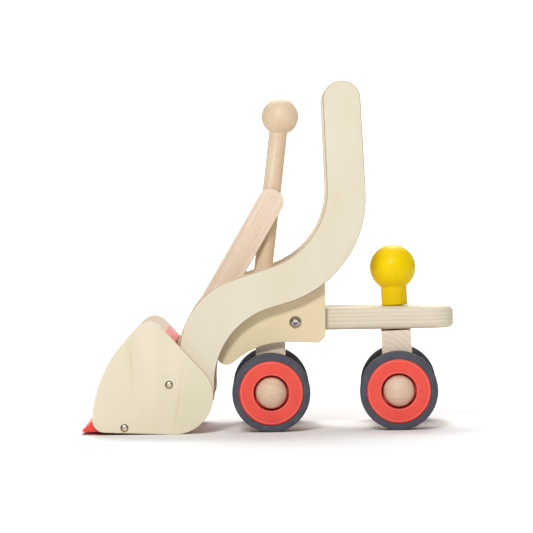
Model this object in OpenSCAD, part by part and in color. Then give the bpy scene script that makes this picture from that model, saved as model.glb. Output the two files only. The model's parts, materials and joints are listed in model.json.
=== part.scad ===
// Wooden toy front loader: plywood board on four wheels, steered rear axle with a ball knob,
// two long lifting arms on one hidden dowel, and a bucket tipped by a ball-topped lever.
// The front of the vehicle points along -X, its left side along -Y, and it stands on Z = 0.

/* [Board] */
// Thickness of the plywood board
board_t = 21; // [18:1:24]
// Half of the board's width
board_hw = 50; // [46:1:50]
// Height of the underside of the board above the ground
board_z = 95.7; // [94.7:0.5:98.7]
// X of the board's front end, hidden between the brackets
board_x0 = -20; // [-24:1:-16]
// X of the board's rear end
board_x1 = 180.4; // [170:0.4:190]
// Plan radius of the board's rear corners
board_r = 22; // [10:1:30]

/* [Wheels and axles] */
// Outer diameter of the tyres
wheel_d = 75; // [70:1:76]
// Diameter of the painted wheel disc inside the tyre
disc_d = 62.2; // [56:0.2:64]
// Width of a wheel
wheel_w = 25; // [20:1:28]
// Half of the track, measured to the outer face of the wheels
track_hw = 77; // [76:1:80]
// Diameter of the recess in the outer face of the disc
recess_d = 34; // [32:1:38]
// Depth of that recess
recess_depth = 12; // [10:1:14]
// Diameter of the axle dowels
axle_d = 10; // [8:1:12]
// Diameter of the wooden ball caps
cap_d = 30; // [26:1:31]
// Width of an axle block along X
block_w = 28.8; // [24:0.4:32]
// X of the front axle
front_x = 2.7; // [0:0.3:6]

/* [Steering] */
// X of the rear axle
steer_x = 127.6; // [122:0.4:132]
// Forward lean of the steering axis
steer_lean = 2; // [0:0.5:3]
// Angle at which the rear axle stands
steer_yaw = -2; // [-5:0.5:5]
// Diameter of the ball of the knob
knob_d = 45; // [38:0.2:48]
// Diameter of the neck of the knob
neck_d = 25.6; // [22:0.2:28]
// Height of the knob's ball centre above the axle, along the steering axis
knob_h = 116.4; // [112:0.2:120]
// Diameter of the steering post inside
post_d = 16; // [14:1:18]

/* [Arms] */
// Thickness of an arm
arm_t = 12; // [10:1:13]
// Distance of the arm's inner face from the middle
arm_y = 60.6; // [60.4:0.1:61]
// X of the lifting pivot
lift_x = -5.5; // [-8:0.5:-3]
// Z of the lifting pivot
lift_z = 135.5; // [134:0.5:137]
// X of the bucket pivot in the arms
tip_x = -68; // [-70:0.5:-66]
// Diameter of the two pivot dowels
pivot_d = 10; // [8:1:12]
// Diameter of the grip bar between the arm tops
grip_d = 20; // [16:1:24]
// X of the grip bar
grip_x = 73.9; // [73:0.1:76]
// Z of the grip bar
grip_z = 317.4; // [316:0.2:319]

/* [Brackets] */
// Thickness of a bracket
bracket_t = 9.6; // [9:0.1:10]
// X of the bracket bolt
bolt_x = 27; // [24:1:30]
// Z of the bracket bolt
bolt_z = 104.2; // [103:0.2:109]
// Diameter of the bolt head
bolt_head_d = 11; // [10:0.5:12]

/* [Lever and links] */
// Diameter of the lever rod
lever_d = 18; // [16:1:18]
// Diameter of the ball on the lever
lever_ball_d = 36; // [30:0.2:38]
// Length from the lifting pivot to the centre of that ball
lever_len = 168.8; // [160:0.2:175]
// Backward lean of the lever
lever_lean = 7.2; // [6:0.2:8]
// Length from the lifting pivot to the link pin
link_arm = 85; // [82:1:88]
// Width of a link
link_w = 25.6; // [22:0.2:27]
// Thickness of a link
link_t = 8; // [7:0.5:9]
// Diameter of the two link pins
pin_d = 8; // [6:1:8]

/* [Bucket] */
// Angle by which the tip of the bucket is raised
bucket_tilt = 2.3; // [0:0.1:3]
// Thickness of a bucket side
side_t = 9; // [8:0.5:10]
// Thickness of the painted wall and floor
panel_t = 9.6; // [9:0.2:10.4]
// Half of the inside width of the bucket
bucket_hw = 73.2; // [73:0.1:74]
// Height of the bucket pivot above the underside of the floor
pivot_h = 38.9; // [38:0.1:40]
// Radius of the round heel of the sides
heel_r = 36.9; // [30.9:0.5:36.9]

/* [Hidden] */

$fn = 64;
// Angle between the points of a wide rounded corner
arc_step = 4;
// Spacing along a tight one, as degrees times millimetres of radius
arc_chord = 60;
// Points of an outline that lie closer together than this are one point
same_point = 0.6;
// Radial clearance of a turning fit
fit = 0.08;
// Radial clearance of a drilled hole that a fastener passes
pass = 0.2;
// Gap left between faces that slide past each other
gap = 0.4;
// Length that cutters run past a face
past = 1;

birch = [0.92, 0.87, 0.77];
beech = [0.91, 0.81, 0.66];
red = [0.93, 0.22, 0.18];
yellow = [0.97, 0.82, 0.05];
rubber = [0.26, 0.27, 0.32];
steel = [0.75, 0.76, 0.78];

wheel_r = wheel_d / 2;
wheel_in = track_hw - wheel_w;
board_top = board_z + board_t;
recess_y = track_hw - recess_depth;
cap_flat = recess_y + gap + 0.1;
cap_y = recess_y + 6;
axle_end = cap_y + 4;
block_drop = 14;
hub_r = 14;

arm_top_r = 18;
arm_foot_r = 16.7;
arm_out = arm_y + arm_t;
lift_bore_y = arm_y + arm_t - 4;
grip_bore_y = arm_y + arm_t - 5;

bracket_y = board_hw;
bracket_out = bracket_y + bracket_t;
bolt_sink = 4;
bolt_len = 20;
insert_len = 16;
insert_d = 10;
dowel_d = 8;
bracket_dowel_x = [-6, 44];
bracket_dowel_z = board_z + board_t / 2;
bracket_dowel_in = board_hw - 16;
bracket_dowel_out = bracket_out - 3;
block_dowel_y = 30;
block_dowel_z0 = board_z - 22;
block_dowel_z1 = board_z + 14;

post_z0 = 22;
knob_z0 = board_top - wheel_r + 0.7;
rear_block_top = board_z - wheel_r - 1.4;
post_z1 = knob_z0 + 26;

lever_tail = 13;
lever_ball_bore = 9;
link_y = lever_d / 2 + gap + 0.1;
link_depth = 5.5;
pin_end = link_y + link_depth - 0.5;
open_pivot_r = pin_d / 2 + 0.6;

// The bucket is drawn level, about its pivot, and then tilted.
wall_x1 = -22.3;
wall_x0 = wall_x1 - panel_t;
floor_z0 = -pivot_h;
floor_z1 = floor_z0 + panel_t;
floor_lip_x = -100.6;
heel_x = 14.7;
side_top = [-47.8, 74.7];
side_back = [15.6, 11.1];
lug_hole = [-5.2, 53.6];
lug_hw = 9;
lug_dowel_z = 28;
wall_screw_z = 8.3;
floor_screw_x = -68.8;
screw_r = 1.8;
screw_head_r = 3.6;
screw_sink = 2.4;
screw_len = 28;
bucket_dowel_end = bucket_hw + side_t - 3.5;
// Height of the bucket pivot at which the heel just touches the ground
tip_z = heel_r + (heel_x - heel_r) * sin(bucket_tilt) - (heel_r - pivot_h) * cos(bucket_tilt);

// Outline of an arm: [x, z, corner radius]
arm_corners = [
    [grip_x - arm_top_r, grip_z + arm_top_r, arm_top_r - 0.2],
    [grip_x - arm_top_r + 5.2, 175.7, 78],
    [tip_x - arm_foot_r + 0.4, 130.1, 72.5],
    [tip_x - arm_foot_r, tip_z - arm_foot_r, arm_foot_r - 0.2],
    [tip_x + arm_foot_r, tip_z - arm_foot_r, arm_foot_r - 0.2],
    [tip_x + arm_foot_r - 0.9, 102.8, 75],
    [grip_x + arm_top_r + 7.6, 146.3, 105],
    [grip_x + arm_top_r, grip_z + arm_top_r, arm_top_r - 0.2]
];

// Outline of a bracket; its last corner is the arch that clears the front wheel
bracket_corners = [
    [56.1, 83.9, 10],
    [56.1, 151, 12],
    [-32, 151, 20],
    [-53, 88.3, 16],
    [-46.4, 63.5, 8.6],
    [-36, 64.7, 9.4],
    [-7, 86, 72]
];

// Outline of a bucket side, drawn level about the pivot
side_corners = [
    [side_top[0], side_top[1], 15],
    [-82.4, 35.8, 91],
    [-99.2, -4.5, 110],
    [-100, floor_z0, 12],
    [heel_x, floor_z0, heel_r],
    [side_back[0], side_back[1], 31.5]
];

// Outline of the lug that carries the link pin
lug_corners = [
    [wall_x1, 18, 0],
    [wall_x1, 46.5, 0],
    [-10.5, 66.5, 10],
    [7.5, 62, 10],
    [5, 40, 12]
];

function unit(v) = v / norm(v);
function xy(c) = [c[0], c[1]];
// Signed angle from a to b, between -180 and 180
function turn(a, b) = b - a - 360 * round((b - a) / 360);

// Points of one corner of a closed outline, rounded to its radius
function corner_points(before, at, after) =
    at[2] == 0 ? [xy(at)] :
    let (
        to_before = unit(xy(before) - xy(at)),
        to_after = unit(xy(after) - xy(at)),
        half = acos(to_before * to_after) / 2,
        centre = xy(at) + unit(to_before + to_after) * at[2] / sin(half),
        start = xy(at) + to_before * at[2] / tan(half) - centre,
        end = xy(at) + to_after * at[2] / tan(half) - centre,
        first = atan2(start[1], start[0]),
        sweep = turn(first, atan2(end[1], end[0])),
        steps = ceil(abs(sweep) / max(arc_step, arc_chord / at[2]))
    )
    [for (i = [0 : steps]) centre + at[2] * [cos(first + sweep * i / steps), sin(first + sweep * i / steps)]];

// Item before or after the i-th in a closed list
function around(list, i) = list[(i + len(list)) % len(list)];

// Points of a closed outline whose corners are [x, y, radius]
function rounded(corners) = let (
        points = [
            for (i = [0 : len(corners) - 1])
            for (p = corner_points(around(corners, i - 1), corners[i], around(corners, i + 1))) p
        ]
    )
    [for (i = [0 : len(points) - 1]) if (norm(points[i] - around(points, i - 1)) > same_point) points[i]];

// Straight plate standing in the XZ plane between y0 and y1
module upright(y0, y1) {
    translate([0, y1, 0]) rotate([90, 0, 0]) linear_extrude(y1 - y0) children();
}

// Round bar along Y between y0 and y1
module y_bar(x, z, r, y0, y1) {
    translate([x, y1, z]) rotate([90, 0, 0]) cylinder(r = r, h = y1 - y0);
}

// Round bar along Z between z0 and z1
module z_bar(x, y, r, z0, z1) {
    translate([x, y, z0]) cylinder(r = r, h = z1 - z0);
}

// Turned shape about the Y axis; the profile's x is the radius and its y is the place along Y
module turned_y() {
    rotate([-90, 0, 0]) rotate_extrude() children();
}

// Right-hand twin of a left-hand piece
module other_side() {
    mirror([0, 1, 0]) children();
}

// Places level bucket geometry at its pivot, tilted
module in_bucket() {
    translate([tip_x, 0, tip_z]) rotate([0, bucket_tilt, 0]) children();
}

// Places geometry drawn along the lever, with its pivot at the origin
module in_lever() {
    translate([lift_x, 0, lift_z]) rotate([0, lever_lean, 0]) children();
}

// Places geometry drawn about the front axle
module in_front() {
    translate([front_x, 0, wheel_r]) children();
}

// Places geometry drawn about the rear axle
module in_rear() {
    translate([steer_x, 0, wheel_r + 0.1]) rotate([0, -steer_lean, 0]) rotate([0, 0, steer_yaw]) children();
}

module board() {
    color(birch) difference() {
        translate([0, 0, board_z]) linear_extrude(board_t) polygon(rounded([
            [board_x0, -board_hw, 6],
            [board_x1, -board_hw, board_r],
            [board_x1, board_hw, board_r],
            [board_x0, board_hw, 6]
        ]));
        in_rear() z_bar(0, 0, post_d / 2 + fit, 40, knob_z0 + 20);
        for (side = [-1, 1]) {
            z_bar(front_x, side * block_dowel_y, dowel_d / 2, board_z - past, block_dowel_z1);
            scale([1, side, 1]) y_bar(bolt_x, bolt_z, insert_d / 2, board_hw - insert_len, board_hw + past);
            for (x = bracket_dowel_x)
                scale([1, side, 1]) y_bar(x, bracket_dowel_z, dowel_d / 2, bracket_dowel_in, board_hw + past);
        }
    }
}

// Block that carries an axle, from the axle up by top
module axle_block(top) {
    difference() {
        translate([-block_w / 2, -board_hw, -block_drop]) cube([block_w, 2 * board_hw, block_drop + top]);
        y_bar(0, 0, axle_d / 2, -board_hw - past, board_hw + past);
    }
}

module front_block() {
    color(beech) difference() {
        in_front() axle_block(board_z - wheel_r);
        for (side = [-1, 1])
            z_bar(front_x, side * block_dowel_y, dowel_d / 2, block_dowel_z0, board_z + past);
    }
}

module front_block_dowels() {
    color(beech) for (side = [-1, 1])
        z_bar(front_x, side * block_dowel_y, dowel_d / 2, block_dowel_z0, block_dowel_z1);
}

module axle() {
    color(beech) y_bar(0, 0, axle_d / 2, -axle_end, axle_end);
}

module front_axle() {
    in_front() axle();
}

module rear_axle() {
    in_rear() axle();
}

module rear_block() {
    color(beech) in_rear() difference() {
        axle_block(rear_block_top);
        z_bar(0, 0, post_d / 2, post_z0, rear_block_top + past);
    }
}

module steering_post() {
    color(beech) in_rear() z_bar(0, 0, post_d / 2, post_z0, post_z1);
}

module steering_knob() {
    color(yellow) in_rear() difference() {
        union() {
            z_bar(0, 0, neck_d / 2, knob_z0, knob_h);
            translate([0, 0, knob_h]) sphere(d = knob_d);
        }
        z_bar(0, 0, post_d / 2, knob_z0 - past, post_z1);
    }
}

// Painted disc of a left wheel, on its axle
module disc() {
    bevel = 1;
    color(red) turned_y() polygon([
        [axle_d / 2 + fit, -board_hw - gap],
        [hub_r, -board_hw - gap],
        [hub_r, -wheel_in],
        [disc_d / 2, -wheel_in],
        [disc_d / 2, -track_hw + bevel],
        [disc_d / 2 - bevel, -track_hw],
        [recess_d / 2 + bevel, -track_hw],
        [recess_d / 2, -track_hw + bevel],
        [recess_d / 2, -recess_y],
        [axle_d / 2 + fit, -recess_y]
    ]);
}

// Rubber tyre of a left wheel
module tyre() {
    bevel = 1.2;
    color(rubber) turned_y() polygon([
        [disc_d / 2, -wheel_in],
        [wheel_r - bevel, -wheel_in],
        [wheel_r, -wheel_in - bevel],
        [wheel_r, -track_hw + bevel],
        [wheel_r - bevel, -track_hw],
        [disc_d / 2, -track_hw]
    ]);
}

// Ball cap glued on the left end of an axle, cut flat inside and bored for the axle
module cap() {
    color(beech) turned_y() difference() {
        translate([0, -cap_y]) circle(d = cap_d);
        translate([-cap_d, -cap_flat]) square(2 * cap_d);
        translate([-cap_d, -2 * cap_y]) square([cap_d, 2 * cap_y]);
        translate([0, -axle_end]) square([axle_d / 2, axle_end]);
    }
}

module disc_front_left() { in_front() disc(); }
module disc_front_right() { in_front() other_side() disc(); }
module disc_rear_left() { in_rear() disc(); }
module disc_rear_right() { in_rear() other_side() disc(); }

module tyre_front_left() { in_front() tyre(); }
module tyre_front_right() { in_front() other_side() tyre(); }
module tyre_rear_left() { in_rear() tyre(); }
module tyre_rear_right() { in_rear() other_side() tyre(); }

module cap_front_left() { in_front() cap(); }
module cap_front_right() { in_front() other_side() cap(); }
module cap_rear_left() { in_rear() cap(); }
module cap_rear_right() { in_rear() other_side() cap(); }

// Bracket on the board's left side, arched over the front wheel
module bracket_left() {
    color(birch) difference() {
        upright(-bracket_out, -bracket_y) polygon(rounded(bracket_corners));
        y_bar(lift_x, lift_z, pivot_d / 2, -bracket_out - past, -bracket_y + past);
        y_bar(bolt_x, bolt_z, bolt_head_d / 2 + pass, -bracket_out - past, -bracket_out + bolt_sink);
        y_bar(bolt_x, bolt_z, 3 + pass, -bracket_out - past, -bracket_y + past);
        for (x = bracket_dowel_x)
            y_bar(x, bracket_dowel_z, dowel_d / 2, -bracket_dowel_out, -bracket_y + past);
    }
}

module bracket_right() {
    other_side() bracket_left();
}

module bracket_dowels() {
    color(beech) for (side = [-1, 1], x = bracket_dowel_x)
        scale([1, side, 1]) y_bar(x, bracket_dowel_z, dowel_d / 2, bracket_dowel_in, bracket_dowel_out);
}

// Button-head socket bolt on the left side, its head sunk in the bracket
module bolt() {
    head_y = -bracket_out + bolt_sink;
    head_h = 3.4;
    translate([bolt_x, head_y, bolt_z]) difference() {
        turned_y() polygon([
            [0, -head_h],
            [bolt_head_d / 2 - 2, -head_h],
            [bolt_head_d / 2 - 0.6, -head_h + 1.2],
            [bolt_head_d / 2, -head_h + 2.4],
            [bolt_head_d / 2, 0],
            [3, 0],
            [3, bolt_len],
            [0, bolt_len]
        ]);
        translate([0, -head_h + 2.2, 0]) rotate([90, 0, 0]) cylinder(d = 4.6, h = 4, $fn = 6);
    }
}

module bracket_bolts() {
    color(steel) {
        bolt();
        other_side() bolt();
    }
}

// Threaded sleeve for a bracket bolt, in the edge of the board
module bolt_inserts() {
    color(steel) for (side = [-1, 1]) scale([1, side, 1]) difference() {
        y_bar(bolt_x, bolt_z, insert_d / 2, board_hw - insert_len, board_hw);
        y_bar(bolt_x, bolt_z, 3, board_hw - insert_len - past, board_hw + past);
    }
}

module lift_dowel() {
    color(beech) y_bar(lift_x, lift_z, pivot_d / 2, -lift_bore_y + 1, lift_bore_y - 1);
}

module arm_left() {
    color(birch) difference() {
        upright(-arm_out, -arm_y) polygon(rounded(arm_corners));
        y_bar(lift_x, lift_z, pivot_d / 2 + fit, -lift_bore_y, -arm_y + past);
        y_bar(tip_x, tip_z, pivot_d / 2 + fit, -arm_out - past, -arm_y + past);
        y_bar(grip_x, grip_z, grip_d / 2, -grip_bore_y, -arm_y + past);
    }
}

module arm_right() {
    other_side() arm_left();
}

module grip_bar() {
    color(beech) y_bar(grip_x, grip_z, grip_d / 2, -grip_bore_y, grip_bore_y);
}

// Places a screw, drawn along +Y with its head's outer face at the origin, at each left corner joint
module at_screws() {
    for (at = [[(wall_x0 + wall_x1) / 2, wall_screw_z], [floor_screw_x, (floor_z0 + floor_z1) / 2]])
        translate([at[0], -bucket_hw - side_t + screw_sink, at[1]]) children();
}

module screw() {
    difference() {
        turned_y() polygon([
            [0, -1.4],
            [screw_head_r - 0.8, -1.4],
            [screw_head_r, -0.6],
            [screw_head_r, 0],
            [screw_r, 1.8],
            [screw_r, screw_len],
            [0, screw_len + 2]
        ]);
        translate([0, 0.2, 0]) rotate([90, 0, 0]) cylinder(d = 2.8, h = 3, $fn = 6);
    }
}

// Hole that a screw needs: a sunk seat for the head and a close hole for the shank
module screw_hole() {
    turned_y() polygon([
        [0, -screw_sink - past],
        [screw_head_r + pass, -screw_sink - past],
        [screw_head_r + pass, 0],
        [screw_r, 2],
        [screw_r, screw_len],
        [0, screw_len + 2]
    ]);
}

module bucket_side_left() {
    color(birch) in_bucket() difference() {
        upright(-bucket_hw - side_t, -bucket_hw) polygon(rounded(side_corners));
        y_bar(0, 0, pivot_d / 2, -bucket_dowel_end, -bucket_hw + past);
        at_screws() screw_hole();
    }
}

module bucket_side_right() {
    other_side() bucket_side_left();
}

// Back wall, whose top is cut flush with the sloping back edge of the sides
module bucket_wall() {
    slope = (side_top[1] - side_back[1]) / (side_top[0] - side_back[0]);
    color(red) in_bucket() difference() {
        upright(-bucket_hw, bucket_hw) polygon([
            [wall_x0, floor_z1],
            [wall_x1, floor_z1],
            [wall_x1, side_back[1] + slope * (wall_x1 - side_back[0])],
            [wall_x0, side_back[1] + slope * (wall_x0 - side_back[0])]
        ]);
        at_screws() screw_hole();
        other_side() at_screws() screw_hole();
        lug_dowel_bars();
    }
}

// Floor with a lip bevelled at 45 degrees
module bucket_floor() {
    color(red) in_bucket() difference() {
        upright(-bucket_hw, bucket_hw) polygon([
            [floor_lip_x - panel_t, floor_z0],
            [wall_x1, floor_z0],
            [wall_x1, floor_z1],
            [floor_lip_x, floor_z1]
        ]);
        at_screws() screw_hole();
        other_side() at_screws() screw_hole();
    }
}

// Two dowels that fix the lug to the wall, drawn along X
module lug_dowel_bars() {
    for (side = [-1, 1])
        translate([wall_x1 - 6, side * 4.5, lug_dowel_z]) rotate([0, 90, 0]) cylinder(d = 5, h = 14);
}

module lug_dowels() {
    color(beech) in_bucket() lug_dowel_bars();
}

module bucket_lug() {
    color(beech) in_bucket() difference() {
        upright(-lug_hw, lug_hw) polygon(rounded(lug_corners));
        y_bar(lug_hole[0], lug_hole[1], pin_d / 2, -lug_hw - past, lug_hw + past);
        lug_dowel_bars();
    }
}

module bucket_dowel() {
    color(beech) in_bucket() y_bar(0, 0, pivot_d / 2, -bucket_dowel_end, bucket_dowel_end);
}

module bucket_screws() {
    color(steel) in_bucket() {
        at_screws() screw();
        other_side() at_screws() screw();
    }
}

module lever_rod() {
    color(beech) in_lever() difference() {
        union() {
            z_bar(0, 0, lever_d / 2, lever_d / 2 - lever_tail, lever_len - lever_ball_bore);
            translate([0, 0, lever_d / 2 - lever_tail]) sphere(d = lever_d);
        }
        y_bar(0, 0, pivot_d / 2 + fit, -lever_d, lever_d);
        y_bar(0, link_arm, pin_d / 2, -lever_d, lever_d);
    }
}

module lever_ball() {
    color(beech) in_lever() difference() {
        translate([0, 0, lever_len]) sphere(d = lever_ball_d);
        z_bar(0, 0, lever_d / 2, lever_len - lever_ball_d, lever_len - lever_ball_bore);
    }
}

module lever_pin() {
    color(beech) in_lever() y_bar(0, link_arm, pin_d / 2, -pin_end, pin_end);
}

module lug_pin() {
    color(beech) in_bucket() y_bar(lug_hole[0], lug_hole[1], pin_d / 2, -pin_end, pin_end);
}

// Link on the left side of the lever, from the lever pin down to the lug pin
module link_left() {
    top = [lift_x + link_arm * sin(lever_lean), lift_z + link_arm * cos(lever_lean)];
    foot = [
        tip_x + lug_hole[0] * cos(bucket_tilt) + lug_hole[1] * sin(bucket_tilt),
        tip_z - lug_hole[0] * sin(bucket_tilt) + lug_hole[1] * cos(bucket_tilt)
    ];
    lean = atan2(top[0] - foot[0], top[1] - foot[1]);
    length = norm(top - foot);
    color(beech) translate([foot[0], 0, foot[1]]) rotate([0, lean, 0]) difference() {
        union() {
            y_bar(0, 0, link_w / 2, -link_y - link_t, -link_y);
            y_bar(0, length, link_w / 2, -link_y - link_t, -link_y);
            translate([-link_w / 2, -link_y - link_t, 0]) cube([link_w, link_t, length]);
        }
        y_bar(0, length, pin_d / 2 + fit, -link_y - link_depth, -link_y + past);
        y_bar(0, 0, open_pivot_r, -link_y - link_depth, -link_y + past);
    }
}

module link_right() {
    other_side() link_left();
}

board();
front_block();
front_block_dowels();
front_axle();
bracket_left();
bracket_right();
bracket_dowels();
bracket_bolts();
bolt_inserts();
lift_dowel();
rear_block();
rear_axle();
steering_post();
steering_knob();
disc_front_left();
disc_front_right();
disc_rear_left();
disc_rear_right();
tyre_front_left();
tyre_front_right();
tyre_rear_left();
tyre_rear_right();
cap_front_left();
cap_front_right();
cap_rear_left();
cap_rear_right();
arm_left();
arm_right();
grip_bar();
bucket_side_left();
bucket_side_right();
bucket_wall();
bucket_floor();
bucket_lug();
lug_dowels();
bucket_dowel();
bucket_screws();
lever_rod();
lever_ball();
lever_pin();
link_left();
link_right();
lug_pin();
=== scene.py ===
"""Looks of the wooden toy front loader: materials, rounded edges, turned parts, light and camera."""
import json
import math
from collections import namedtuple

import bmesh
import bpy
from mathutils import Matrix, Vector

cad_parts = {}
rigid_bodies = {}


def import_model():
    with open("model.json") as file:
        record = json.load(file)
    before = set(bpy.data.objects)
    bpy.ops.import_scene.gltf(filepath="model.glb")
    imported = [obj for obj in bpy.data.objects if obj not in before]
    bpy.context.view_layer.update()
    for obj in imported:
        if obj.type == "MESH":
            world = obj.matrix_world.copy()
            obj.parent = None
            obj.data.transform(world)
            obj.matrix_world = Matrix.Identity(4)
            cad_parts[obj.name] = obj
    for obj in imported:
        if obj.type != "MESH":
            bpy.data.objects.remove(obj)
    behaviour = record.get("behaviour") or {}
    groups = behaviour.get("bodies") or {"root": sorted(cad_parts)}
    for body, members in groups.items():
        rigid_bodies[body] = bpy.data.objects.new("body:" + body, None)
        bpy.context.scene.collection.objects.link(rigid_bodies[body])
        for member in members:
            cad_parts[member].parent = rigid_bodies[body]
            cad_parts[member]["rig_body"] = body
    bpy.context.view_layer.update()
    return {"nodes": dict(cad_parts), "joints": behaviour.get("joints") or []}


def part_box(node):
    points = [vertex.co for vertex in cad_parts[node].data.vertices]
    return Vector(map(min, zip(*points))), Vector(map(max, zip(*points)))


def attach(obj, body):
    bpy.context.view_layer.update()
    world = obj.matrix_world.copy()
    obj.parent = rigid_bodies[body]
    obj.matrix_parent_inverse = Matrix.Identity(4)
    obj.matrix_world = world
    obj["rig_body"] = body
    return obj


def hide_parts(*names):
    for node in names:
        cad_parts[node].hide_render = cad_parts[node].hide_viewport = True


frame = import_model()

JOINTS = {joint["name"]: joint for joint in frame["joints"]}
X, Y, Z = Vector((1, 0, 0)), Vector((0, 1, 0)), Vector((0, 0, 1))
MM = 0.001
HAIR = 0.001 * MM  # two places nearer than this are the same

FRONT = Vector(JOINTS["wheel_front_left_spin"]["pos_m"])
REAR = Vector(JOINTS["wheel_rear_left_spin"]["pos_m"])
REAR_AXIS = Vector(JOINTS["wheel_rear_left_spin"]["axis"])
STEER_AXIS = Vector(JOINTS["rear_steer"]["axis"])

# The turns that bring grain which runs along X, Y or Z round to Z, where the materials draw it.
GRAIN_X, GRAIN_Y, GRAIN_Z = (0, math.radians(90), 0), (math.radians(90), 0, 0), (0, 0, 0)


# ---------------------------------------------------------------- camera, stage and light

def make_camera():
    """A long lens far off on the toy's left, a little above its middle, held a trifle askew."""
    place = Vector((0.0001, -3.13, 0.2414))
    pitch, roll = math.radians(-1.55), math.radians(0.95)
    data = bpy.data.cameras.new("camera")
    data.lens, data.sensor_width = 216, 36
    data.clip_start, data.clip_end = 0.1, 40
    camera = bpy.data.objects.new("camera", data)
    bpy.context.scene.collection.objects.link(camera)
    aim = Matrix.Rotation(math.pi / 2 + pitch, 4, "X")
    camera.matrix_world = Matrix.Translation(place) @ aim @ Matrix.Rotation(-roll, 4, "Z")
    bpy.context.scene.camera = camera


def make_sky():
    """A dim, even white all round, which only softens the shadows."""
    world = bpy.data.worlds.new("studio")
    bpy.context.scene.world = world
    world.use_nodes = True
    sky = world.node_tree.nodes["Background"]
    sky.inputs["Color"].default_value = (1, 1, 1, 1)
    sky.inputs["Strength"].default_value = 0.12


def make_floor():
    """A pale floor, level under the toy, that curves up into a backdrop behind it."""
    half_width, front, back, bend, height, steps = 6.0, -6.0, 5.6, 1.2, 5.0, 16
    line = [(front, 0.0)]
    for i in range(steps + 1):
        a = i / steps * math.pi / 2
        line.append((back - bend + bend * math.sin(a), bend - bend * math.cos(a)))
    line.append((back, height))
    sheet = bmesh.new()
    left = [sheet.verts.new((-half_width, y, z)) for y, z in line]
    right = [sheet.verts.new((half_width, y, z)) for y, z in line]
    for i in range(len(line) - 1):
        sheet.faces.new((left[i], right[i], right[i + 1], left[i + 1])).smooth = True
    floor = mesh_object("stage_floor", sheet)
    white = Shader("studio_white")
    white.set({"Base Color": (0.93, 0.93, 0.93, 1), "Roughness": 0.9, "Specular IOR Level": 0.1})
    floor.data.materials.append(white.material)


def make_light(name, place, aim, size, power):
    """A square softbox at place, turned to aim."""
    data = bpy.data.lights.new(name, "AREA")
    data.shape, data.size, data.energy = "SQUARE", size, power
    light = bpy.data.objects.new(name, data)
    bpy.context.scene.collection.objects.link(light)
    light.location = place
    light.rotation_mode = "QUATERNION"
    light.rotation_quaternion = (Vector(aim) - Vector(place)).to_track_quat("-Z", "Y")


def make_lights():
    """A key light above the camera, a weak one over the toy, and two that keep the stage behind it white."""
    make_light("key", (-0.55, -2.65, 1.9), (0, 0, 0.15), 0.65, 57)
    make_light("top", (0.2, -0.9, 2.8), (0, 0, 0.1), 1.2, 14)
    make_light("floor_wash", (0, 2.5, 3.5), (0, 2.3, 0), 2.6, 90)
    make_light("backdrop", (0, 3.0, 3.2), (0, 4.6, 0.2), 3.4, 170)
    bpy.context.scene.view_settings.view_transform = "Standard"


# ---------------------------------------------------------------- shader nodes

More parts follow.
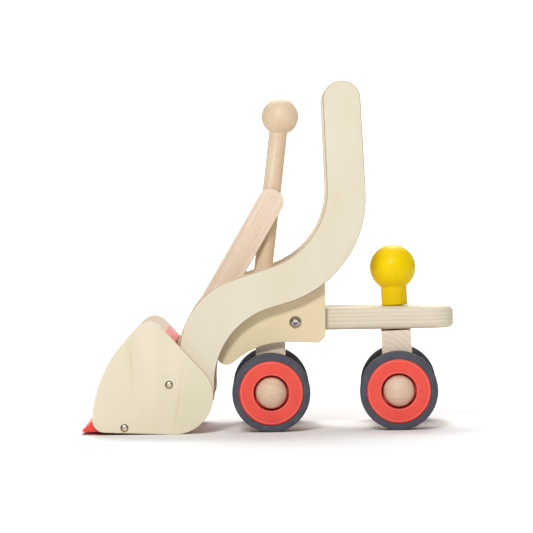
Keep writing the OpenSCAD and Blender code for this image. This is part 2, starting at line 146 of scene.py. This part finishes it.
class Shader:
    """A node material with short ways to add nodes and join them. shift, in metres, moves its noise, so that
    parts do not all show the same; turn brings the grain round to Z."""

    def __init__(self, name, shift=(0, 0, 0), turn=GRAIN_Z):
        self.material = bpy.data.materials.new(name)
        self.material.use_nodes = True
        self.tree = self.material.node_tree
        self.surface = self.tree.nodes["Principled BSDF"]
        self.shift = shift
        self.turn = turn
        place = self.add("ShaderNodeTexCoord")
        self.spot, self.normal = place.outputs["Object"], place.outputs["Normal"]

    def add(self, kind, inputs=None, **settings):
        node = self.tree.nodes.new(kind)
        for key, value in settings.items():
            setattr(node, key, value)
        for key, value in (inputs or {}).items():
            self.feed(node.inputs[key], value)
        return node

    def feed(self, socket, value):
        if isinstance(value, bpy.types.NodeSocket):
            self.tree.links.new(value, socket)
        else:
            socket.default_value = value

    def set(self, values):
        """Gives the surface its inputs, by name."""
        for key, value in values.items():
            self.feed(self.surface.inputs[key], value)

    def math(self, kind, a, b=0.0):
        return self.add("ShaderNodeMath", {0: a, 1: b}, operation=kind).outputs[0]

    def plus(self, a, b):
        return self.math("ADD", a, b)

    def minus(self, a, b):
        return self.math("SUBTRACT", a, b)

    def times(self, a, b):
        return self.math("MULTIPLY", a, b)

    def gap(self, a, b):
        """How far a is from b."""
        return self.math("ABSOLUTE", self.minus(a, b))

    def vector(self, kind, a, b):
        return self.add("ShaderNodeVectorMath", {0: a, 1: b}, operation=kind).outputs[0]

    def length(self, vector):
        return self.add("ShaderNodeVectorMath", {0: vector}, operation="LENGTH").outputs["Value"]

    def part_of(self, vector, axis):
        """One number of a vector, by axis 0, 1 or 2."""
        return self.add("ShaderNodeSeparateXYZ", {0: vector}).outputs[axis]

    def facing(self, axis):
        """1 on faces across axis, 0 on faces along it."""
        return self.math("ABSOLUTE", self.part_of(self.normal, axis))

    def mix(self, share, a, b):
        node = self.add("ShaderNodeMix", data_type="RGBA", blend_type="MIX")
        self.feed(node.inputs["Factor"], share)
        self.feed(node.inputs["A"], a)
        self.feed(node.inputs["B"], b)
        return node.outputs["Result"]

    def step(self, value, low, high):
        """0 below low, 1 above high and smooth between."""
        node = self.add("ShaderNodeMapRange", {"Value": value, "From Min": low, "From Max": high})
        node.interpolation_type = "SMOOTHSTEP"
        return node.outputs["Result"]

    def noise(self, scale, detail=3.0, roughness=0.55, distortion=0.0, turn=GRAIN_Z):
        """Noise over the part, turned by turn; scale is its waves in a metre along X, Y and Z after that."""
        moved = self.vector("ADD", self.spot, self.shift)
        turned = self.add("ShaderNodeMapping", {"Vector": moved, "Rotation": turn}).outputs[0]
        stretched = self.add("ShaderNodeMapping", {"Vector": turned, "Scale": scale}).outputs[0]
        shape = {"Scale": 1.0, "Detail": detail, "Roughness": roughness, "Distortion": distortion}
        return self.add("ShaderNodeTexNoise", {"Vector": stretched, **shape}).outputs["Fac"]

    def even_noise(self, scale, detail=3.0, roughness=0.55):
        """Noise with as many waves in a metre each way."""
        return self.noise((scale, scale, scale), detail, roughness)

    def grain(self, across, along, detail=3.0, roughness=0.55, distortion=0.0):
        """Noise that follows the grain, with so many waves in a metre across it and along it."""
        return self.noise((across, across, along), detail, roughness, distortion, self.turn)

    def bump(self, height, strength, distance):
        node = self.add("ShaderNodeBump", {"Height": height, "Strength": strength, "Distance": distance})
        self.set({"Normal": node.outputs["Normal"]})


def tinted(colour, tint):
    return tuple(c * t for c, t in zip(colour, tint)) + (1,)


# ---------------------------------------------------------------- plywood

def veneer(s, fibres, veins, tint):
    """Colour of a plywood face: cloudy pale birch with fine specks, and vein lines along its grain."""
    pale = tinted((0.800, 0.735, 0.600), tint)
    warm = tinted((0.770, 0.690, 0.520), (1, tint[1], tint[2]))
    vein = (0.700, 0.580, 0.360, 1)
    clouds = s.grain(26, 9)
    flow = s.grain(13, 2.6, 2.0, 0.5, 0.4)
    line = s.minus(1.0, s.step(s.gap(s.math("FRACT", s.times(flow, 6.5)), 0.5), 0.0, 0.075))
    faded = s.times(line, s.step(clouds, 0.42, 0.62))
    specks = s.step(s.grain(2400, 700, 2.0), 0.55, 0.72)
    colour = s.mix(s.step(clouds, 0.3, 0.72), pale, warm)
    colour = s.mix(s.times(fibres, 0.16), colour, warm)
    colour = s.mix(s.times(faded, veins), colour, vein)
    return s.mix(s.times(specks, 0.16), colour, vein)


def ply_layers(s, axis, low, thickness):
    """Colour of a plywood edge: long and end grain by turns from low along axis, with glue lines between."""
    long_layer, end_layer = (0.810, 0.750, 0.620, 1), (0.720, 0.600, 0.420, 1)
    glue = (0.600, 0.450, 0.280, 1)
    wave = s.noise((22, 22, 60), 2.0)
    depth = s.math("DIVIDE", s.minus(s.part_of(s.spot, axis), low), thickness)
    depth = s.plus(depth, s.times(s.minus(wave, 0.5), 0.5))
    by_turns = s.step(s.math("PINGPONG", s.plus(depth, 0.5), 1.0), 0.30, 0.70)
    seam = s.step(s.gap(s.math("FRACT", depth), 0.5), 0.42, 0.5)
    colour = s.mix(s.times(by_turns, s.plus(s.times(wave, 0.8), 0.3)), long_layer, end_layer)
    colour = s.mix(s.times(s.even_noise(420), 0.35), colour, end_layer)
    return s.mix(s.times(seam, 0.25), colour, glue)


def plywood(node, axis, layers, turn, seed, veins, tint, arris_shade=0.95):
    """Birch plywood for a CAD node whose sheet lies across axis: veneer on its faces, layers on its cut
    edges. The last argument is how much painted shade darkens the arris between face and edge."""
    low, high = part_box(node)
    s = Shader("ply_" + node, (seed * 0.37, seed * 0.21, seed * 0.13), turn)
    fibres = s.grain(900, 45, 2.0)
    facing = s.facing(axis)
    # Painted shade along the rounded arris between face and edge.
    arris_shade_colour = (0.430, 0.290, 0.150, 1)
    edge = ply_layers(s, axis, low[axis], (high[axis] - low[axis]) / layers)
    edge = s.mix(s.times(s.step(facing, 0.12, 0.5), arris_shade), edge, arris_shade_colour)
    face = veneer(s, fibres, veins, tint)
    s.set({
        "Base Color": s.mix(s.step(facing, 0.93, 0.993), edge, face),
        "Roughness": s.plus(s.times(fibres, 0.16), 0.42),
        "Specular IOR Level": 0.35,
    })
    s.bump(fibres, 0.12, 0.0002)
    return s.material


# ---------------------------------------------------------------- solid beech

def beech_rings(s, pith, light, dark, fleck):
    """Colour of an end face across Y: rings about a line through pith, and pores."""
    away = s.vector("MULTIPLY", s.vector("SUBTRACT", s.spot, pith), (1, 0, 1))
    radius = s.plus(s.length(away), s.times(s.even_noise(40), 0.004))
    ring = s.step(s.math("FRACT", s.times(radius, 190.0)), 0.2, 1.0)
    pores = s.step(s.even_noise(1400, 2.0), 0.55, 0.7)
    return s.mix(s.times(pores, 0.3), s.mix(s.times(ring, 0.55), light, dark), fleck)


def beech(name, turn, seed, tint=(1.0, 1.0, 1.0), figure=1.0, pith=None):
    """Solid beech: bands, streaks, fine fibres and short flecks along the grain.
    figure is how strongly bands and streaks show. With a pith, faces across Y show rings about it."""
    s = Shader("beech_" + name, (seed * 0.31, seed * 0.17, seed * 0.23), turn)
    light, dark = tinted((0.820, 0.700, 0.550), tint), tinted((0.720, 0.570, 0.410), tint)
    rosy, fleck = tinted((0.760, 0.530, 0.390), tint), tinted((0.600, 0.400, 0.250), tint)
    bands = s.step(s.grain(120, 5, 4.0, 0.6, 0.3), 0.35, 0.68)
    fibres = s.grain(1300, 70, 2.0)
    streaks = s.step(s.grain(620, 16), 0.48, 0.66)
    flecks = s.step(s.grain(1500, 260, 1.0), 0.58, 0.70)
    colour = s.mix(s.times(bands, figure), light, dark)
    colour = s.mix(s.times(fibres, 0.22), colour, dark)
    colour = s.mix(s.times(streaks, 0.5 * figure), colour, rosy)
    colour = s.mix(s.times(flecks, 0.46), colour, fleck)
    if pith is not None:
        end = beech_rings(s, pith, light, dark, fleck)
        colour = s.mix(s.step(s.facing(1), 0.7, 0.86), colour, end)
    s.set({
        "Base Color": colour,
        "Roughness": s.plus(s.times(fibres, 0.18), 0.36),
        "Specular IOR Level": 0.35,
    })
    s.bump(fibres, 0.15, 0.0002)
    return s.material


# ---------------------------------------------------------------- paint, rubber and metal

def painted_rim_highlight(s, tone, pale, patchy, centre, axis, radii):
    """The paint's tone, made pale in patches along turned edges of those radii about an axis: a painted
    highlight where the rounded rims catch the light.
    """
    away = s.vector("SUBTRACT", s.spot, centre)
    radius = s.length(s.vector("CROSS_PRODUCT", away, axis))
    for edge in radii:
        near = s.minus(1.0, s.step(s.gap(radius, edge), 0.15 * MM, 0.65 * MM))
        tone = s.mix(s.times(near, s.plus(s.times(patchy, 0.5), 0.15)), tone, pale)
    return tone


def paint(name, colour, deep, roughness, seed, grain=0.25, shine=0.22, highlight_rings=None):
    """Sprayed paint on wood: colour, clouded and mottled with deep, and the grain just raised under it.
    The last argument is the (centre, axis, radii) of the turned edges that get a painted highlight."""
    s = Shader(name, (seed * 0.41, seed * 0.19, seed * 0.29))
    clouds = s.even_noise(60, 4.0)
    specks = s.even_noise(900, 2.0)
    raised = s.noise((420, 60, 420))
    mottle = s.even_noise(330, 3.0, 0.7)
    tone = s.mix(s.times(s.step(clouds, 0.3, 0.75), 0.4), colour, deep)
    tone = s.mix(s.times(s.step(mottle, 0.42, 0.66), 0.45), tone, deep)
    # Painted highlight: the turned rims are made paler, as where they catch the light.
    if highlight_rings:
        pale = tuple(min(1.0, c * 0.75 + 0.22) for c in colour[:3]) + (1,)
        tone = painted_rim_highlight(s, tone, pale, mottle, *highlight_rings)
    s.set({
        "Base Color": tone,
        "Roughness": s.plus(s.times(specks, 0.12), roughness),
        "Specular IOR Level": shine,
        "Coat Weight": shine * 0.35,
        "Coat Roughness": 0.15,
    })
    s.bump(s.plus(s.times(specks, 0.5), raised), grain, 0.00025)
    return s.material


def rubber(name):
    """Dark matt rubber with a faint bloom and a fine moulded grain."""
    s = Shader(name)
    bloom = s.step(s.even_noise(90, 4.0), 0.3, 0.75)
    grain = s.even_noise(1500, 2.0)
    s.set({
        "Base Color": s.mix(bloom, (0.060, 0.064, 0.084, 1), (0.085, 0.090, 0.112, 1)),
        "Roughness": s.plus(s.times(grain, 0.2), 0.55),
        "Specular IOR Level": 0.4,
    })
    s.bump(grain, 0.35, 0.0003)
    return s.material


def metal(name, colour, roughness):
    """Plated steel with fine turning marks."""
    s = Shader(name)
    marks = s.even_noise(2600, 2.0)
    s.set({"Base Color": colour, "Metallic": 1.0, "Roughness": s.plus(s.times(marks, 0.12), roughness)})
    s.bump(marks, 0.05, 0.0001)
    return s.material


# ---------------------------------------------------------------- meshes and pieces

def mesh_object(name, mesh):
    """A new object from a bmesh, which is used up; its faces are turned outwards."""
    data = bpy.data.meshes.new(name)
    bmesh.ops.recalc_face_normals(mesh, faces=mesh.faces)
    mesh.to_mesh(data)
    mesh.free()
    piece = bpy.data.objects.new(name, data)
    bpy.context.scene.collection.objects.link(piece)
    return piece


def smooth(piece, sharp=45):
    """Smooth shading, but for edges sharper than so many degrees."""
    piece.data.polygons.foreach_set("use_smooth", [True] * len(piece.data.polygons))
    piece.data.set_sharp_from_angle(angle=math.radians(sharp))
    return piece


def eased(piece, arris=0.0, crease=30):
    """Rounds every edge sharper than crease degrees by arris, and keeps the flat faces evenly shaded."""
    if arris:
        bevel = piece.modifiers.new("arris", "BEVEL")
        bevel.width, bevel.segments = arris, 3
        bevel.limit_method, bevel.angle_limit = "ANGLE", math.radians(crease)
        bevel.use_clamp_overlap = True
        bevel.miter_outer = "MITER_ARC"
    settled = bpy.data.meshes.new_from_object(piece.evaluated_get(bpy.context.evaluated_depsgraph_get()))
    piece.modifiers.clear()
    piece.data = settled
    smooth(piece, 40)
    weighted = piece.modifiers.new("even", "WEIGHTED_NORMAL")
    weighted.keep_sharp = True
    weighted.weight = 80
    return piece


def stand_for(piece, node, material):
    """Gives a finished piece its material, and puts it in the place of a CAD node."""
    piece.data.materials.clear()
    piece.data.materials.append(material)
    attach(piece, frame["nodes"][node]["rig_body"])
    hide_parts(node)


def recolour(node, material):
    """A better material on a CAD node that stays."""
    slots = frame["nodes"][node].data.materials
    slots.clear()
    slots.append(material)


def middle_of(node):
    low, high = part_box(node)
    return (low + high) / 2


def welded(node):
    """A CAD node's mesh as a bmesh, its doubled points joined."""
    mesh = bmesh.new()
    mesh.from_mesh(frame["nodes"][node].data)
    bmesh.ops.remove_doubles(mesh, verts=mesh.verts, dist=0.01 * MM)
    return mesh


def rounded_copy(node, material, arris):
    """The CAD node's own shape with its sawn edges rounded over."""
    mesh = welded(node)
    flat = math.radians(1.0)
    bmesh.ops.dissolve_limit(
        mesh, angle_limit=flat, verts=mesh.verts, edges=mesh.edges, use_dissolve_boundaries=False
    )
    stand_for(eased(mesh_object(node + "_piece", mesh), arris), node, material)


def arc(centre, radius, start, end, steps):
    """Points on a circle about centre, from start to end degrees."""
    angles = [math.radians(start + (end - start) * i / steps) for i in range(steps + 1)]
    return [(centre[0] + radius * math.cos(a), centre[1] + radius * math.sin(a)) for a in angles]


def lathe(name, profile, place, turns=96, ripple=None):
    """A solid turned about the local Z axis. profile is a closed loop of (radius, height), or an open one
    from axis to axis; ripple(index, radius, height) changes the radius at a point round the turn."""
    mesh = bmesh.new()
    rings = []
    for radius, height in profile:
        if radius < HAIR:
            rings.append([mesh.verts.new(place @ Vector((0, 0, height)))] * turns)
            continue
        ring = []
        for i in range(turns):
            a = 2 * math.pi * i / turns
            r = ripple(i, radius, height) if ripple else radius
            ring.append(mesh.verts.new(place @ Vector((r * math.cos(a), r * math.sin(a), height))))
        rings.append(ring)
    closed = profile[0][0] > HAIR
    for k in range(len(rings) if closed else len(rings) - 1):
        low, high = rings[k], rings[(k + 1) % len(rings)]
        for i in range(turns):
            j = (i + 1) % turns
            corners = [low[i], low[j], high[j], high[i]]
            corners = [v for n, v in enumerate(corners) if v not in corners[:n]]
            if len(corners) > 2:
                mesh.faces.new(corners)
    return mesh_object(name, mesh)


def along(start, direction, side=1):
    """Local frame at start with its Z along direction; side -1 turns Z the other way."""
    z = Vector(direction).normalized() * side
    across = X if abs(z.dot(X)) < 0.9 else Y
    x = (across - z * across.dot(z)).normalized()
    turn = Matrix((x, z.cross(x), z)).transposed().to_4x4()
    return Matrix.Translation(start) @ turn


def extent(node, place):
    """Greatest radius, lowest and highest height of a CAD node in a local frame."""
    inverse = place.inverted()
    points = [inverse @ v.co for v in frame["nodes"][node].data.vertices]
    heights = [p.z for p in points]
    return max(math.hypot(p.x, p.y) for p in points), min(heights), max(heights)


def ball_rim(radius, low, high, steps):
    """Outline of a ball from the rim of its flat underside, at low, to its top at high."""
    centre = high - radius
    flat = math.degrees(math.asin((low - centre) / radius))
    return arc((0, centre), radius, flat, 90, steps)


# ---------------------------------------------------------------- wheels

def wheel_place(end, side):
    """Frame of a wheel, its origin on the axle's middle and Z outwards. side is -1 for left, 1 for right."""
    return along(FRONT, Y, side) if end == "front" else along(REAR, REAR_AXIS, side)


def make_disc(node, place, recess, material):
    """Painted wheel disc with eased rims round its face and its recess."""
    radius, _, face = extent(node, place)
    inner = extent("tyre_front_left", wheel_place("front", -1))[1]
    hub = extent("disc_front_left", wheel_place("front", -1))[1]
    bore, hub_radius, recess_depth = 5.08 * MM, 14 * MM, 12 * MM
    ease, lip = 2.0 * MM, 1.0 * MM
    floor = face - recess_depth
    profile = [(bore, hub), (hub_radius, hub), (hub_radius, inner), (radius, inner)]
    profile += arc((radius - ease, face - ease), ease, 0, 90, 6)
    profile += arc((recess + lip, face - lip), lip, 90, 180, 6)
    profile += [(recess, floor), (bore, floor)]
    stand_for(smooth(lathe(node + "_piece", profile, place, 128)), node, material)


def make_tyre(node, place, material):
    """Rubber tyre with a thin chamfer at each side and fine ribs across the tread."""
    outer, low, high = extent(node, place)
    inner = extent("disc_front_left", wheel_place("front", -1))[0]
    chamfer, rib, edge = 1.2 * MM, 0.22 * MM, 0.5 * MM
    side = outer - chamfer - edge
    profile = [(inner, low), (side, low)]
    profile += arc((side, low + edge), edge, -90, -45, 3)
    profile += [(outer, low + chamfer), (outer, low + chamfer + edge)]
    profile += [(outer, high - chamfer - edge), (outer, high - chamfer)]
    profile += arc((side, high - edge), edge, 45, 90, 3)
    profile += [(inner, high)]

    def ripple(i, radius, height):
        on_tread = radius > outer - HAIR and height > low + chamfer + edge / 2
        return radius - rib if on_tread and i % 2 else radius

    stand_for(smooth(lathe(node + "_piece", profile, place, 300, ripple), 35), node, material)


def make_cap(node, place, material):
    """Wooden ball cap, flat where it faces the disc."""
    radius, low, high = extent(node, place)
    ease = 0.5 * MM
    rim = ball_rim(radius, low, high, 28)
    profile = [(0, low), (rim[0][0] - ease, low)] + rim[1:-1] + [(0, high)]
    stand_for(smooth(lathe(node + "_piece", profile, place)), node, material)


def make_wheels():
    """Four wheels, each with a disc that has a painted highlight at its two rims, a tyre and a cap with its
    own lie of the grain.
    """
    tyre = rubber("tyre_rubber")
    bright, deep = (0.90, 0.100, 0.071, 1), (0.82, 0.071, 0.052, 1)
    # Radii of the disc's outer rim and recess rim, where a highlight is painted.
    recess, highlit_rim_radii = 17 * MM, (28.8 * MM, 17.9 * MM)
    wheels = [("front", "left", -1), ("front", "right", 1), ("rear", "left", -1), ("rear", "right", 1)]
    for n, (end, hand, side) in enumerate(wheels):
        wheel, place = end + "_" + hand, wheel_place(end, side)
        highlight_rings = place.translation, place.to_3x3() @ Z, highlit_rim_radii
        make_disc("disc_" + wheel, place, recess, paint("red_" + wheel, bright, deep, 0.42, n, highlight_rings=highlight_rings))
        make_tyre("tyre_" + wheel, place, tyre)
        grain = (0, math.radians(80 + 7 * n), 0)
        make_cap("cap_" + wheel, place, beech("cap_" + wheel, grain, 11 + n, (1.0, 0.92, 0.88)))


# ---------------------------------------------------------------- knob, lever and bars

def make_knob():
    """Ball and neck in one turned piece, with a small cove where they meet."""
    place = along(REAR, STEER_AXIS)
    radius, low, high = extent("steering_knob", place)
    neck, cove, ease = 12.8 * MM, 3.0 * MM, 0.8 * MM
    centre = high - radius
    reach = math.sqrt((radius + cove) ** 2 - (neck + cove) ** 2)
    meet = math.degrees(math.atan2(-reach, neck + cove))
    profile = [(0, low), (neck - ease, low)] + arc((neck - ease, low + ease), ease, -90, 0, 4)
    profile += arc((neck + cove, centre - reach), cove, 180, 180 + meet, 6)
    profile += arc((0, centre), radius, meet, 90, 40)[1:-1] + [(0, high)]
    bright, deep = (0.93, 0.66, 0.002, 1), (0.88, 0.59, 0.002, 1)
    yellow = paint("yellow_paint", bright, deep, 0.26, 7, grain=0.12, shine=0.12)
    stand_for(smooth(lathe("steering_knob_piece", profile, place, 128)), "steering_knob", yellow)


def lean_of(direction):
    """Angle by which a direction leans from upright towards X."""
    return math.atan2(direction.x, direction.z)


def make_lever():
    """Rod with a domed foot, and the ball on its top."""
    pivot = Vector(JOINTS["lever_pull"]["pos_m"])
    axis = Vector(JOINTS["link_swing"]["pos_m"]) - pivot
    place = along(pivot, axis)
    _, low, high = extent("lever_rod", place)
    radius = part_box("lever_rod")[1].y
    profile = [(0, low)] + arc((0, low + radius), radius, -90, 0, 14)[1:] + [(radius, high), (0, high)]
    rod_wood = beech("lever", (0, -lean_of(axis), 0), 3, (1.02, 1.0, 0.96))
    stand_for(smooth(lathe("lever_rod_piece", profile, place), 60), "lever_rod", rod_wood)

    radius, low, high = extent("lever_ball", place)
    profile = [(0, low)] + ball_rim(radius, low, high, 40)[:-1] + [(0, high)]
    ball_wood = beech("lever_ball", (0, math.radians(62), 0), 4, (0.99, 0.93, 0.84), figure=0.3)
    stand_for(smooth(lathe("lever_ball_piece", profile, place)), "lever_ball", ball_wood)


def make_link(node, outline, grain, seed):
    """One flat bar: its outline in (x, z), as thick as the CAD node, its edges eased."""
    low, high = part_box(node)
    mesh = bmesh.new()
    near, far = ([mesh.verts.new((x, y, z)) for x, z in outline] for y in (low.y, high.y))
    mesh.faces.new(near)
    mesh.faces.new(far)
    skirt(mesh, near, far)
    wood = beech(node, grain, seed, (1.11, 1.12, 1.19))
    stand_for(eased(mesh_object(node + "_piece", mesh), 1.3 * MM, 50), node, wood)


def make_links():
    """Two bars with round ends, from the lever pin to the pin in the bucket's lug."""
    top, foot = Vector(JOINTS["link_swing"]["pos_m"]), middle_of("lug_pin")
    lean = lean_of(top - foot)
    start = -math.degrees(lean)
    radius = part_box("link_left")[1].z - top.z
    outline = arc((top.x, top.z), radius, start + 180, start, 28)
    outline += arc((foot.x, foot.z), radius, start, start - 180, 28)
    for n, node in enumerate(("link_left", "link_right")):
        make_link(node, outline, (0, -lean, 0), 21 + n)


def make_dowel(node, place, material):
    """A plain round bar, its ends eased."""
    radius, low, high = extent(node, place)
    ease = 0.6 * MM
    thin = radius - ease
    profile = [(0, low), (thin, low), (radius, low + ease), (radius, high - ease), (thin, high), (0, high)]
    stand_for(smooth(lathe(node + "_piece", profile, place, 64), 60), node, material)


def make_bars():
    """The round bars, pins and axles across the toy, and the steering post."""
    wood = beech("bars", GRAIN_Y, 31)
    for node in ("grip_bar", "lift_dowel", "bucket_dowel", "lug_pin", "lever_pin", "front_axle"):
        make_dowel(node, along(middle_of(node), Y), wood)
    make_dowel("rear_axle", along(REAR, REAR_AXIS), wood)
    make_dowel("steering_post", along(REAR, STEER_AXIS), beech("post", GRAIN_Z, 33))


# ---------------------------------------------------------------- fasteners

# A round-headed screw: radius and height of its head, radius and length of its shank, and width across flats
# and depth of its socket.
Screw = namedtuple("Screw", "radius height shank length across depth")
BOLT = Screw(5.1 * MM, 3.4 * MM, 3 * MM, 20 * MM, 4.6 * MM, 2.4 * MM)
WOOD_SCREW = Screw(3.1 * MM, 1.4 * MM, 1.8 * MM, 28 * MM, 2.6 * MM, 1.1 * MM)


def make_screw(screw, name, place):
    """One screw with a hexagon socket, its head on the plane through place with Z pointing out of it."""
    turns, socket, lip, cone = 48, screw.across / 2, 0.15 * MM, 1.15
    apart = HAIR / 10
    dome = [math.radians(t) for t in range(12, 61, 12)]
    profile = [(0, -screw.length), (screw.shank, screw.shank - screw.length), (screw.shank, 0)]
    profile += [(screw.radius, 0)] + [(screw.radius * math.cos(t), screw.height * math.sin(t)) for t in dome]
    profile += [(socket + apart, screw.height), (socket, screw.height - lip)]
    profile += [(socket - apart, screw.height - screw.depth), (0, screw.height - screw.depth * cone)]

    def hexagon(i, radius, height):
        if abs(radius - socket) > HAIR or height < 0:
            return radius
        return radius / math.cos((2 * math.pi * i / turns) % (math.pi / 3) - math.pi / 6)

    return lathe(name, profile, place, turns, hexagon)


def solid_boxes(node):
    """Lowest and highest corner of each separate solid of a CAD node, in order of their lowest corners."""
    mesh = welded(node)
    left, found = set(mesh.verts), []
    while left:
        group = {left.pop()}
        stack = list(group)
        while stack:
            for edge in stack.pop().link_edges:
                fresh = set(edge.verts) - group
                group |= fresh
                stack += fresh
        left -= group
        found.append([Vector([pick(v.co[k] for v in group) for k in range(3)]) for pick in (min, max)])
    mesh.free()
    return sorted(found, key=lambda box: tuple(round(c, 5) for c in box[0]))


def make_screws(node, screw, material):
    """All the screws of a CAD node in one piece. On the toy's left their heads are at their lowest Y."""
    joined = bmesh.new()
    for n, (low, high) in enumerate(solid_boxes(node)):
        middle = (low + high) / 2
        side = -1 if middle.y < 0 else 1
        top = low.y if side < 0 else high.y
        place = along(Vector((middle.x, top - side * screw.height, middle.z)), Y, side)
        part = make_screw(screw, f"{node}_{n}", place)
        joined.from_mesh(part.data)
        bpy.data.objects.remove(part)
    stand_for(smooth(mesh_object(node + "_piece", joined), 35), node, material)


def make_fasteners():
    """Bracket bolts, bucket screws, and the metal of the sleeves that the bolts go into."""
    chrome = metal("chrome", (0.70, 0.68, 0.68, 1), 0.09)
    steel = metal("zinc_steel", (0.88, 0.82, 0.70, 1), 0.30)
    make_screws("bracket_bolts", BOLT, chrome)
    make_screws("bucket_screws", WOOD_SCREW, steel)
    recolour("bolt_inserts", steel)


# ---------------------------------------------------------------- board and sawn parts

def board_outline(low, high, inset):
    """The board's outline in plan, moved in from its rim: small corners in front and large ones behind."""
    front, rear, steps = 6 * MM, 22 * MM, 14
    return (
        arc((high.x - rear, low.y + rear), rear - inset, 270, 360, steps)
        + arc((high.x - rear, high.y - rear), rear - inset, 0, 90, steps)
        + arc((low.x + front, high.y - front), front - inset, 90, 180, steps)
        + arc((low.x + front, low.y + front), front - inset, 180, 270, steps)
    )


def ring_of(mesh, points, z):
    return [mesh.verts.new((x, y, z)) for x, y in points]


def skirt(mesh, lower, upper):
    """Faces between two rings of as many points."""
    for i in range(len(lower)):
        j = (i + 1) % len(lower)
        mesh.faces.new((lower[i], lower[j], upper[j], upper[i]))


def make_board():
    """The board with its rim rounded over, and the hole that the steering post turns in."""
    low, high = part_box("board")
    ease, steps = 5.2 * MM, 6
    hole_radius, hole_points = 8.5 * MM, 24
    turned = [math.radians(90 * i / steps) for i in range(steps + 1)]
    levels = [(ease * (1 - math.sin(t)), low.z + ease * (1 - math.cos(t))) for t in turned]
    levels += [(inset, low.z + high.z - z) for inset, z in reversed(levels)]
    mesh = bmesh.new()
    rims = [ring_of(mesh, board_outline(low, high, inset), z) for inset, z in levels]
    for lower, upper in zip(rims, rims[1:]):
        skirt(mesh, lower, upper)
    holes = []
    for z in (low.z, high.z):
        centre = REAR + STEER_AXIS * ((z - REAR.z) / STEER_AXIS.z)
        circle = arc((centre.x, centre.y), hole_radius, 0, 360, hole_points)[:-1]
        holes.append(ring_of(mesh, circle, z))
    skirt(mesh, *holes)
    for rim, hole in ((rims[0], holes[0]), (rims[-1], holes[1])):
        loops = [mesh.edges.get((loop[i - 1], loop[i])) for loop in (rim, hole) for i in range(len(loop))]
        bmesh.ops.triangle_fill(mesh, edges=loops, use_beauty=True)
    # Almost no painted shade on the board's wide round-over.
    wood = plywood("board", 2, 11, GRAIN_X, 1, 0.2, (1.0, 1.0, 1.0), arris_shade=0.05)
    stand_for(eased(mesh_object("board_piece", mesh)), "board", wood)


def make_sheets():
    """Brackets, arms and bucket sides: plywood that lies across Y."""
    arm_grain = (0, math.radians(-14), 0)
    plain, warm = (1.0, 1.0, 1.0), (1.05, 1.02, 0.98)
    golden, pale = (1.06, 0.95, 0.79), (1.06, 1.12, 1.20)
    sheets = [
        # node, layers, grain, seed, arris in mm, veins, tint
        ("bracket_left", 7, GRAIN_X, 2, 1.5, 0.15, golden),
        ("bracket_right", 7, GRAIN_X, 3, 1.5, 0.15, golden),
        ("arm_left", 9, arm_grain, 4, 1.8, 0.15, plain),
        ("arm_right", 9, arm_grain, 5, 1.8, 0.15, plain),
        ("bucket_side_left", 7, GRAIN_Z, 6, 1.4, 0.45, warm),
        # The far bucket side is tinted paler and bluer than the near one: painted light against the shade
        # and red bounce light it gets.
        ("bucket_side_right", 7, GRAIN_Z, 7, 1.4, 0.45, pale),
    ]
    for node, layers, grain, seed, arris, veins, tint in sheets:
        rounded_copy(node, plywood(node, 1, layers, grain, seed, veins, tint), arris * MM)


def make_blocks():
    """Both axle blocks, with rings on their end faces, and the lug on the bucket."""
    to_pith = Vector((-0.034, 0, -0.020))
    tints = {"front_block": (1.12, 1.12, 1.16), "rear_block": (1.12, 1.09, 1.12)}
    for n, (node, tint) in enumerate(tints.items()):
        wood = beech(node, GRAIN_Y, 41 + n, tint, pith=middle_of(node) + to_pith)
        rounded_copy(node, wood, 1.0 * MM)
    rounded_copy("bucket_lug", beech("lug", GRAIN_X, 51), 1.0 * MM)


def make_red_sheets():
    """The bucket's back wall, in a red darkened as painted shade, and its floor."""
    shaded_wall_red, deep_shaded_wall_red = (0.68, 0.075, 0.06, 1), (0.62, 0.06, 0.05, 1)
    red, deep_red = (0.86, 0.075, 0.055, 1), (0.80, 0.06, 0.045, 1)
    # The wall's red is darker than the floor's: painted shade against the light on its top edge.
    rounded_copy("bucket_wall", paint("red_wall", shaded_wall_red, deep_shaded_wall_red, 0.38, 61), 0.5 * MM)
    rounded_copy("bucket_floor", paint("red_floor", red, deep_red, 0.38, 62), 0.35 * MM)


def colour_dowels():
    """The dowels inside the glued joints keep their CAD shape."""
    wood = beech("dowels", GRAIN_Y, 71)
    for node in ("front_block_dowels", "bracket_dowels", "lug_dowels"):
        recolour(node, wood)


make_camera()
make_sky()
make_floor()
make_lights()
make_board()
make_sheets()
make_blocks()
make_red_sheets()
colour_dowels()
make_wheels()
make_knob()
make_lever()
make_links()
make_bars()
make_fasteners()
